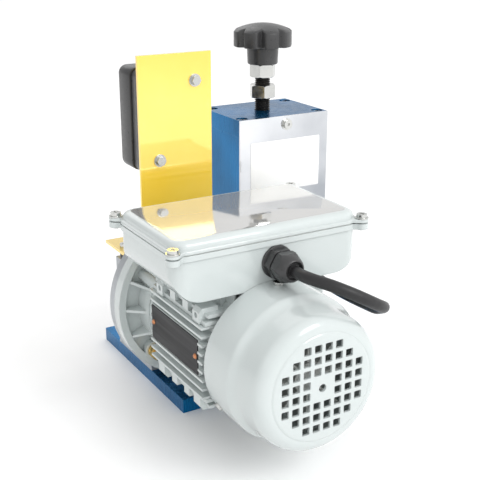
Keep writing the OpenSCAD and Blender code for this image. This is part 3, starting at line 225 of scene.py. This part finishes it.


# The lighter edge tones below are partly wear and partly painted edge highlight
EDGE_WEAR_AND_HIGHLIGHT = (0.8, 0.82, 0.84)
FINISHES = {
    "blue_anodised": dict(dark=(0.002, 0.09, 0.22), light=(0.003, 0.17, 0.42), rough=(0.2, 0.32),
                          metallic=0.85, patch=12, grain=900, bump=0.04, brushed=(1, 1, 0.03),
                          edge=(0.12, 0.42, 0.72), radius=0.6),
    "polished_stainless": dict(dark=(0.36, 0.38, 0.41), light=(0.78, 0.79, 0.81), rough=(0.07, 0.13),
                               metallic=1.0, patch=9, grain=1500, bump=0.012, brushed=(1, 1, 0.02),
                               edge=(0.95, 0.95, 0.95), radius=0.4),
    "grey_paint": dict(dark=(0.53, 0.575, 0.57), light=(0.555, 0.6, 0.595), rough=(0.16, 0.24), coat=0.5,
                       grain=260, bump=0.02, edge=(0.7, 0.73, 0.72), radius=0.9, wear_and_highlight=0.3),
    "cast_grey": dict(dark=(0.4, 0.42, 0.44), light=(0.5, 0.52, 0.54), rough=(0.35, 0.5), metallic=0.7,
                      grain=1100, bump=0.22, edge=EDGE_WEAR_AND_HIGHLIGHT),
    "yellow_paint": dict(dark=(1.0, 0.66, 0.03), light=(1.0, 0.7, 0.05), rough=(0.04, 0.07), metallic=0.25,
                         coat=1.0, ior=2.4, grain=300, bump=0.01, edge=(1.0, 0.88, 0.45), radius=0.4),
    "black_plastic": dict(dark=(0.03, 0.03, 0.031), light=(0.044, 0.044, 0.045), rough=(0.26, 0.38),
                          grain=1600, bump=0.08, edge=(0.045, 0.045, 0.05)),
    "grey_plastic": dict(dark=(0.5, 0.52, 0.5), light=(0.58, 0.6, 0.58), rough=(0.35, 0.5),
                         grain=900, bump=0.05),
    "lead_rubber": dict(dark=(0.006, 0.006, 0.0065), light=(0.011, 0.011, 0.012), rough=(0.4, 0.55),
                        grain=1300, bump=0.12),
    "bright_zinc": dict(dark=(0.5, 0.51, 0.5), light=(0.62, 0.62, 0.6), rough=(0.12, 0.24), metallic=1.0,
                        grain=900, bump=0.05, edge=(0.95, 0.95, 0.94), radius=0.3),
    "black_steel": dict(dark=(0.015, 0.014, 0.013), light=(0.035, 0.033, 0.03), rough=(0.25, 0.4),
                        metallic=0.8, grain=1200, bump=0.1, edge=(0.2, 0.19, 0.18), radius=0.2),
    "yellow_zinc": dict(dark=(0.6, 0.38, 0.1), light=(0.75, 0.55, 0.22), rough=(0.18, 0.3), metallic=1.0,
                        patch=120, grain=900, bump=0.06, edge=(0.9, 0.75, 0.45), radius=0.3),
    "steel": dict(dark=(0.42, 0.42, 0.43), light=(0.55, 0.55, 0.56), rough=(0.2, 0.34), metallic=1.0,
                  grain=1200, bump=0.06, brushed=(0.05, 1, 1), edge=EDGE_WEAR_AND_HIGHLIGHT, radius=0.3),
    "bronze": dict(dark=(0.5, 0.29, 0.1), light=(0.62, 0.38, 0.15), rough=(0.22, 0.36), metallic=1.0,
                   grain=900, bump=0.06, edge=(0.8, 0.6, 0.35)),
    "rotor_aluminium": dict(dark=(0.5, 0.5, 0.51), light=(0.62, 0.62, 0.63), rough=(0.3, 0.45),
                            metallic=1.0, grain=900, bump=0.1),
    "copper_wire": dict(dark=(0.5, 0.2, 0.09), light=(0.66, 0.3, 0.15), rough=(0.22, 0.36), metallic=0.9,
                        grain=1500, bump=0.15, patch=150),
    "black_plate": dict(dark=(0.006, 0.006, 0.007), light=(0.012, 0.012, 0.014), rough=(0.3, 0.46),
                        ior=1.35, grain=1400, bump=0.05, brushed=(1, 0.04, 1), edge=(0.4, 0.4, 0.4),
                        radius=0.4),
    "white_plastic": dict(dark=(0.7, 0.7, 0.67), light=(0.78, 0.78, 0.75), rough=(0.25, 0.38),
                          grain=900, bump=0.04),
    "brown_plastic": dict(dark=(0.11, 0.045, 0.02), light=(0.16, 0.07, 0.03), rough=(0.35, 0.5),
                          grain=1200, bump=0.1),
    "green_plastic": dict(dark=(0.01, 0.2, 0.04), light=(0.02, 0.27, 0.06), rough=(0.2, 0.3), coat=0.2,
                          grain=900, bump=0.05, edge=(0.1, 0.42, 0.16)),
    "red_plastic": dict(dark=(0.42, 0.012, 0.01), light=(0.52, 0.02, 0.016), rough=(0.2, 0.3), coat=0.2,
                        grain=900, bump=0.05, edge=(0.7, 0.12, 0.1)),
}
LID_TOP = dict(dark=(0.58, 0.58, 0.57), light=(0.64, 0.64, 0.63), rough=(0.05, 0.09), metallic=0.6, ior=2,
               grain=300, bump=0.008)
LABEL = dict(dark=(0.88, 0.88, 0.87), light=(0.93, 0.93, 0.92), rough=(0.4, 0.5), grain=1200, bump=0.03)


def paint_nodes():
    made = {name: make_material(name, **finish) for name, finish in FINISHES.items()}
    for row in frame["record"]["subparts"]:
        data = nodes[row["node"]].data
        data.materials.clear()
        data.materials.append(made[row["material_slot"]])
    return made


# Mesh building
def mesh_data(name, mesh):
    """Turns a building mesh in mm into mesh data in metres, with its faces outward."""
    bmesh.ops.recalc_face_normals(mesh, faces=mesh.faces)
    data = bpy.data.meshes.new(name)
    mesh.to_mesh(data)
    mesh.free()
    data.transform(Matrix.Scale(MM, 4))
    return data


def finish_piece(name, mesh, body, slot, *materials):
    data = mesh_data(name, mesh)
    for used in materials:
        data.materials.append(used)
    piece = bpy.data.objects.new(name, data)
    scene.collection.objects.link(piece)
    for face in data.polygons:
        face.use_smooth = True
    data.set_sharp_from_angle(angle=SHARP_ANGLE)
    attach(piece, body)
    return piece


def loft(mesh, rings, caps=(True, True)):
    """Joins closed rings of points into a skin, and returns the flat face of each wanted end."""
    made = [[mesh.verts.new(p) for p in ring] for ring in rings]
    for low, high in zip(made, made[1:]):
        for i, vert in enumerate(low):
            j = (i + 1) % len(low)
            mesh.faces.new((vert, low[j], high[j], high[i]))
    return [mesh.faces.new(ring) for ring, wanted in zip((made[0], made[-1]), caps) if wanted]


def rounded_ring(width, length, radius, height, turn=7):
    """Points of a rectangle with round corners, about the origin."""
    points = []
    for quarter, (sx, sy) in enumerate(((1, 1), (-1, 1), (-1, -1), (1, -1))):
        for k in range(turn):
            angle = math.radians(90 * (quarter + k / (turn - 1)))
            points.append(Vector((sx * (width / 2 - radius) + radius * math.cos(angle),
                                  sy * (length / 2 - radius) + radius * math.sin(angle), height)))
    return points


def hex_reach(angle, flats):
    """Distance from a nut's axis to its side at an angle."""
    step = math.radians(60)
    return flats / 2 / math.cos((angle % step) - step / 2)


def turned_ring(place, axes, along, limit, flats=None, count=72):
    """Points round an axis at a station: a circle, or a hexagon that the circle cuts."""
    first, second, axis = axes
    points = []
    for k in range(count):
        angle = 2 * math.pi * k / count
        reach = min(limit, hex_reach(angle, flats)) if flats else limit
        points.append(place + axis * along + (first * math.cos(angle) + second * math.sin(angle)) * reach)
    return points


# Terminal box lid with a stepped edge, a polished top and four screw ears. Steps: inset, height
LID_W = 184
LID_L = 114
LID_ROUND = 16
LID_STEPS = (
    (0, 197), (0, 199.2), (0.4, 199.8), (1.2, 200), (2.2, 200.4), (2.4, 202.4), (3.0, 204),
    (4.2, 205.3), (5.8, 206.2), (7.6, 206.7), (9.5, 206.9),
)
EAR_X = 91
EAR_Y = 56
EAR_LEAN = (0.82, 0.57)
EAR_RADIUS = 6
EAR_REACH = 13
EAR_TURN = 12
EAR_STEPS = ((0.4, 197), (0, 197.4), (0, 199.5), (0.5, 200))


def make_lid(made):
    mesh = bmesh.new()
    middle = Vector((0, BOX_Y, 0))
    rings = []
    for inset, z in LID_STEPS:
        ring = rounded_ring(LID_W - 2 * inset, LID_L - 2 * inset, LID_ROUND - inset, z)
        rings.append([middle + p for p in ring])
    top = loft(mesh, rings)[1]
    top.material_index = 1
    lean_x, lean_y = EAR_LEAN
    for sx in (-1, 1):
        for sy in (-1, 1):
            place = Vector((sx * EAR_X, BOX_Y + sy * EAR_Y, 0))
            make_ear(mesh, place, Vector((-sx * lean_x, -sy * lean_y, 0)))
    lid = finish_piece("terminal_lid_skin", mesh, "root", "grey_paint", made["grey_paint"],
                       make_material("polished_lid_top", **LID_TOP))
    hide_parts("terminal_lid")


def make_ear(mesh, place, inward):
    """Rounded tab: a half circle about the screw and straight sides back to the rim."""
    side = Vector((-inward.y, inward.x, 0))
    start = math.atan2(side.y, side.x)
    arc = [start + math.pi * k / EAR_TURN for k in range(EAR_TURN + 1)]
    rings = []
    for inset, z in EAR_STEPS:
        curve = [place + Vector((math.cos(a), math.sin(a), 0)) * (EAR_RADIUS - inset) for a in arc]
        ring = curve + [curve[-1] + inward * EAR_REACH, curve[0] + inward * EAR_REACH]
        rings.append([p + Vector((0, 0, z)) for p in ring])
    loft(mesh, rings)


# Cable gland with a domed nut, and cable bushes under the switch box. Stations: along, radius, nut's flats
GLAND_STATIONS = (
    (0, 14.1, None), (0.3, 14.4, None), (1.7, 14.4, None), (2, 13.9, None), (2.1, 12.9, 24),
    (2.7, 13.9, 24), (9.3, 13.9, 24), (10, 12.9, 24), (10.1, 10.6, None), (12, 10.6, None),
    (12.1, 12.8, 24), (12.8, 13.9, 24), (18.6, 13.9, 24), (19.8, 13.2, 24), (20.6, 12.4, 24),
    (21.4, 11.9, None), (23.4, 11.3, None), (25.4, 10.6, None), (26.8, 9.8, None), (27.7, 9.1, None),
    (28, 8.5, None), (27.8, 7.9, None), (26.2, 7.4, None), (25, 6.6, None), (24.6, 5.4, None),
    (24.8, 4.98, None), (28, 4.98, None),
)
BUSH_STATIONS = ((0, 8), (2.4, 8), (2.8, 7.8), (3, 7.4))


def make_glands(made):
    mesh = bmesh.new()
    place = Vector((GLAND_X, BOX_NEAR, GLAND_Z))
    loft(mesh, [turned_ring(place, (X_AXIS, Z_AXIS, -Y_AXIS), *station) for station in GLAND_STATIONS])
    for offset in (-BUSH_OFFSET, BUSH_OFFSET):
        place = Vector((SWITCH_X + offset, BUSH_Y, SWITCH_MID_Z - SWITCH_H / 2))
        loft(mesh, [turned_ring(place, (X_AXIS, Y_AXIS, -Z_AXIS), *station) for station in BUSH_STATIONS])
    glands = finish_piece("cable_glands", mesh, "root", "black_plastic", made["black_plastic"])
    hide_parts("gland_bodies", "gland_nuts")


# Star knob: wide lobes, narrow hollows and a domed top
KNOB_LOBES = 8
KNOB_RADIUS = 30
KNOB_SWELL = 0.7
KNOB_HOLLOW = 5.2
LOBE_SHARE = 0.5
LOBE_Z = 322.8
DOME_TOP = 345.8
DOME_BALL = 64.8
KNOB_POINTS = 192
KNOB_TURN = math.radians(10)
KNOB_STEM = ((14.4, 304.8), (15.2, 305.2), (15.5, 306), (16.1, 320), (16.6, 322), (17.4, LOBE_Z))
LOBE_FOOT = ((0.9, 0), (0.25, 0.3), (0, 1.1))
LOBE_BROW = ((0.1, 1.4), (0.35, 0.5), (0.9, 0.1))
DOME_SHARES = (0.93, 0.85, 0.74, 0.6, 0.45, 0.3, 0.16, 0.06)


def knob_reach(angle):
    """Distance from the knob's axis to its edge at an angle."""
    across = abs(((angle * KNOB_LOBES / (2 * math.pi)) % 1) * 2 - 1)
    dip = max(0.0, (across - LOBE_SHARE) / (1 - LOBE_SHARE))
    return KNOB_RADIUS - KNOB_SWELL * across ** 2 - KNOB_HOLLOW * dip * dip * (3 - 2 * dip)


def dome_height(reach):
    return DOME_TOP - DOME_BALL + math.sqrt(DOME_BALL ** 2 - reach ** 2)


def make_knob(made):
    mesh = bmesh.new()
    turns = [2 * math.pi * k / KNOB_POINTS for k in range(KNOB_POINTS)]
    edge = [knob_reach(a) for a in turns]

    def ring(reaches, heights):
        points = []
        for angle, reach, height in zip(turns, reaches, heights):
            x = WORK_X + reach * math.cos(angle + KNOB_TURN)
            y = WORK_Y + reach * math.sin(angle + KNOB_TURN)
            points.append(Vector((x, y, height)))
        return points

    def all_round(value):
        return [value] * KNOB_POINTS

    rings = [ring(all_round(radius), all_round(z)) for radius, z in KNOB_STEM]
    for inset, rise in LOBE_FOOT:
        rings.append(ring([r - inset for r in edge], all_round(LOBE_Z + rise)))
    for inset, drop in LOBE_BROW:
        rings.append(ring([r - inset for r in edge], [dome_height(r) - drop for r in edge]))
    for share in DOME_SHARES:
        rings.append(ring([r * share for r in edge], [dome_height(r * share) for r in edge]))
    loft(mesh, rings)
    knob = finish_piece("star_knob_skin", mesh, "knob_screw", "black_plastic", made["black_plastic"])
    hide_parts("star_knob")


# Pressure screw: a right-hand thread of 2 mm pitch above a plain shank and its foot
THREAD_PITCH = 2
THREAD_LOW = 190
THREAD_TURNS = 61
THREAD_POINTS = 28
THREAD_PROFILE = ((6.8, 0), (8, 0.38), (8, 0.52), (6.8, 0.9), (6.8, 1))
SCREW_STATIONS = (
    (168.8, 11.6), (169.2, 12), (173.4, 12), (173.8, 11.6), (173.8, 8), (190.6, 8), (191.4, 6.7),
    (313, 6.7), (313.4, 6.2),
)


def make_screw(made):
    mesh = bmesh.new()
    rows = []
    for step in range(THREAD_TURNS * THREAD_POINTS + 1):
        angle = 2 * math.pi * step / THREAD_POINTS
        row = []
        for radius, share in THREAD_PROFILE:
            x = WORK_X + radius * math.cos(angle)
            y = WORK_Y + radius * math.sin(angle)
            z = THREAD_LOW + THREAD_PITCH * (step / THREAD_POINTS + share)
            row.append(mesh.verts.new((x, y, z)))
        rows.append(row)
    for first, second in zip(rows, rows[1:]):
        for k in range(len(THREAD_PROFILE) - 1):
            mesh.faces.new((first[k], second[k], second[k + 1], first[k + 1]))
    bmesh.ops.remove_doubles(mesh, verts=mesh.verts, dist=0.001)
    axes = (X_AXIS, Y_AXIS, Z_AXIS)
    place = Vector((WORK_X, WORK_Y, 0))
    loft(mesh, [turned_ring(place, axes, *station) for station in SCREW_STATIONS])
    screw = finish_piece("pressure_screw_thread", mesh, "knob_screw", "black_steel", made["black_steel"])
    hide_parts("pressure_screw")


# Fan cover: one spun sheet with a pressed ring and square air holes
COVER_PROFILE = (
    (0, 65), (35.7, 65), (37.2, 64.8), (38.7, 64.2), (40.3, 63.2), (42.7, 61.8), (45.7, 60.8),
    (48.7, 60.3), (55.7, 59.9), (64.1, 59.5),
)
COVER_LENGTH = 76.1
COVER_NOSE = 12
COVER_NOSE_STEPS = 12
COVER_SHEET = 1.6
COVER_HOLE = 3.4
COVER_FACE = ((-0.1, 47.1), (0.35, 46.4), (0.75, 45.8), (0.9, 45), (0.9, COVER_HOLE))
AIR_HOLE = 6.75
AIR_HOLE_ROUND = 0.8
AIR_PITCH = 10
AIR_REACH = 14.6


def cover_outline(inset):
    """Stations from the rim to the middle of the face: distance from the rim, and radius."""
    rows = [(along, radius - inset) for along, radius in COVER_PROFILE]
    centre = (COVER_LENGTH - COVER_NOSE, COVER_PROFILE[-1][1] - COVER_NOSE)
    bend = COVER_NOSE - inset
    for k in range(1, COVER_NOSE_STEPS + 1):
        angle = math.radians(90 * k / COVER_NOSE_STEPS)
        rows.append((centre[0] + bend * math.sin(angle), centre[1] + bend * math.cos(angle)))
    return rows


def make_fan_cover(made):
    mesh = bmesh.new()
    axes = (X_AXIS, Z_AXIS, -Y_AXIS)
    place = Vector((0, COVER_RIM, AXIS_Z))
    outer = cover_outline(0) + [(COVER_LENGTH + rise, radius) for rise, radius in COVER_FACE]
    inner = [(COVER_LENGTH - COVER_SHEET, COVER_HOLE)] + cover_outline(COVER_SHEET)[::-1]
    rings = [turned_ring(place, axes, along, radius, count=144) for along, radius in outer + inner]
    loft(mesh, rings + rings[:1], (False, False))
    bmesh.ops.remove_doubles(mesh, verts=mesh.verts, dist=0.0001)
    cover = finish_piece("fan_cover_sheet", mesh, "root", "grey_paint", made["grey_paint"])
    cut_away(cover, air_hole_tools())
    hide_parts("fan_cover")


def air_hole_tools():
    """Square bars with round corners where the air holes go."""
    mesh = bmesh.new()
    face_y = COVER_RIM - COVER_LENGTH
    ring = rounded_ring(AIR_HOLE, AIR_HOLE, AIR_HOLE_ROUND, 0, turn=4)
    spots = [i + 0.5 for i in range(-4, 4)]
    for u in spots:
        for v in spots:
            if 1 < u * u + v * v < AIR_REACH:
                loft(mesh, [[Vector((u * AIR_PITCH + p.x, y, AXIS_Z + v * AIR_PITCH + p.y)) for p in ring]
                            for y in (face_y - 2, face_y + 4)])
    return mesh


def cut_away(piece, mesh):
    """Cuts closed tools out of a piece for good."""
    tool = bpy.data.objects.new("tool", mesh_data("tool", mesh))
    scene.collection.objects.link(tool)
    change = piece.modifiers.new("cut", "BOOLEAN")
    change.operation = "DIFFERENCE"
    change.solver = "EXACT"
    change.object = tool
    bpy.context.view_layer.update()
    shaped = piece.evaluated_get(bpy.context.evaluated_depsgraph_get())
    new = bpy.data.meshes.new_from_object(shaped)
    piece.modifiers.clear()
    piece.data = new
    bpy.data.objects.remove(tool)
    new.set_sharp_from_angle(angle=SHARP_ANGLE)


# Switch box: two moulded halves with soft edges. Stations: place along Y, inset
SWITCH_ROUND = 8
SWITCH_BACK = ((15.6, 2.4), (16, 1.6), (17, 1.2), (32.6, 1.2), (33.3, 1.6), (33.6, 3.2), (35.6, 3.2))
SWITCH_FRONT = (
    (35.6, 1), (35.9, 0.3), (36.6, 0), (58.6, 0), (60.6, 0.5), (62, 1.6), (63, 3), (63.6, 5),
    (60.6, 5.2),
)
BUTTON_HOLE = 13.4
BUTTON_HOLE_ENDS = (40, 66)


def switch_rings(stations):
    rings = []
    for y, inset in stations:
        ring = rounded_ring(SWITCH_W - 2 * inset, SWITCH_H - 2 * inset, SWITCH_ROUND - inset, 0, turn=9)
        rings.append([Vector((SWITCH_X + p.x, y, SWITCH_MID_Z + p.y)) for p in ring])
    return rings


def make_switch_box(made):
    mesh = bmesh.new()
    loft(mesh, switch_rings(SWITCH_BACK))
    back = finish_piece("switch_box_back_shell", mesh, "root", "black_plastic", made["black_plastic"])
    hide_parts("switch_box_back")
    mesh = bmesh.new()
    loft(mesh, switch_rings(SWITCH_FRONT))
    front = finish_piece("switch_box_front_shell", mesh, "root", "black_plastic", made["black_plastic"])
    cut_away(front, button_hole_tools())
    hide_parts("switch_box_front")


def button_hole_tools():
    mesh = bmesh.new()
    axes = (X_AXIS, Z_AXIS, Y_AXIS)
    for z in BUTTON_Z:
        place = Vector((SWITCH_X, 0, z))
        loft(mesh, [turned_ring(place, axes, y, BUTTON_HOLE, count=64) for y in BUTTON_HOLE_ENDS])
    return mesh


# Blank white sticker on the polished back cover
def make_sticker():
    mesh = bmesh.new()
    width, height, corner, face, thick = 82.7, 53, 1.5, 14.7, 0.25
    middle = Vector((119.65, 0, 207.1))
    rings = []
    for inset, y in ((0, face), (0, face - thick + 0.05), (0.08, face - thick)):
        ring = rounded_ring(width - 2 * inset, height - 2 * inset, corner, 0, turn=5)
        rings.append([middle + Vector((p.x, y, p.y)) for p in ring])
    loft(mesh, rings)
    finish_piece("blank_sticker", mesh, "root", "white_plastic", make_material("white_sticker", **LABEL))


# Stage: pale floor, soft light boxes and a pale surround that is brightest at the front right
FLOOR = dict(dark=(0.95, 0.95, 0.95), light=(0.97, 0.97, 0.97), rough=(0.7, 0.8), grain=300, bump=0.02)
FLOOR_SIZE = 5
BRIGHT_SIDE = (0.62, -0.74, 0.26)
LIGHT_TARGET = Vector((0.05, -0.06, 0.15))
LIGHTS = (
    ("key", (0.5, -1.5, 1.2), 0.7, 10),
    ("fill", (-1.3, -0.5, 1.0), 0.9, 1),
    ("back", (0.2, 1.4, 1.4), 1.2, 4),
)


def make_floor():
    mesh = bmesh.new()
    bmesh.ops.create_grid(mesh, x_segments=8, y_segments=8, size=FLOOR_SIZE)
    data = bpy.data.meshes.new("floor")
    mesh.to_mesh(data)
    mesh.free()
    floor = bpy.data.objects.new("floor", data)
    data.materials.append(make_material("floor_paper", **FLOOR))
    scene.collection.objects.link(floor)


def make_surround():
    world = bpy.data.worlds.new("studio")
    world.use_nodes = True
    tree = world.node_tree
    surround = tree.nodes["Background"]
    surround.inputs["Color"].default_value = (1, 1, 1, 1)
    facing = tree.nodes.new("ShaderNodeVectorMath")
    facing.operation = "DOT_PRODUCT"
    facing.inputs[1].default_value = BRIGHT_SIDE
    tree.links.new(tree.nodes.new("ShaderNodeTexCoord").outputs["Generated"], facing.inputs[0])
    strength = spread(tree, facing.outputs["Value"], low=0.6, high=1.4, start=-0.9, stop=0.9)
    tree.links.new(strength, surround.inputs["Strength"])
    scene.world = world
    scene.view_settings.view_transform = "Standard"


def make_lights():
    for name, place, size, power in LIGHTS:
        data = bpy.data.lights.new(name, "AREA")
        data.size = size
        data.energy = power
        light = bpy.data.objects.new(name, data)
        light.location = place
        light.rotation_euler = (LIGHT_TARGET - Vector(place)).to_track_quat("-Z", "Y").to_euler()
        scene.collection.objects.link(light)


make_camera()
lead = make_lead()
finishes = paint_nodes()
lead.data.materials.append(finishes["lead_rubber"])
make_lid(finishes)
make_glands(finishes)
make_knob(finishes)
make_screw(finishes)
make_fan_cover(finishes)
make_switch_box(finishes)
make_sticker()
make_floor()
make_surround()
make_lights()
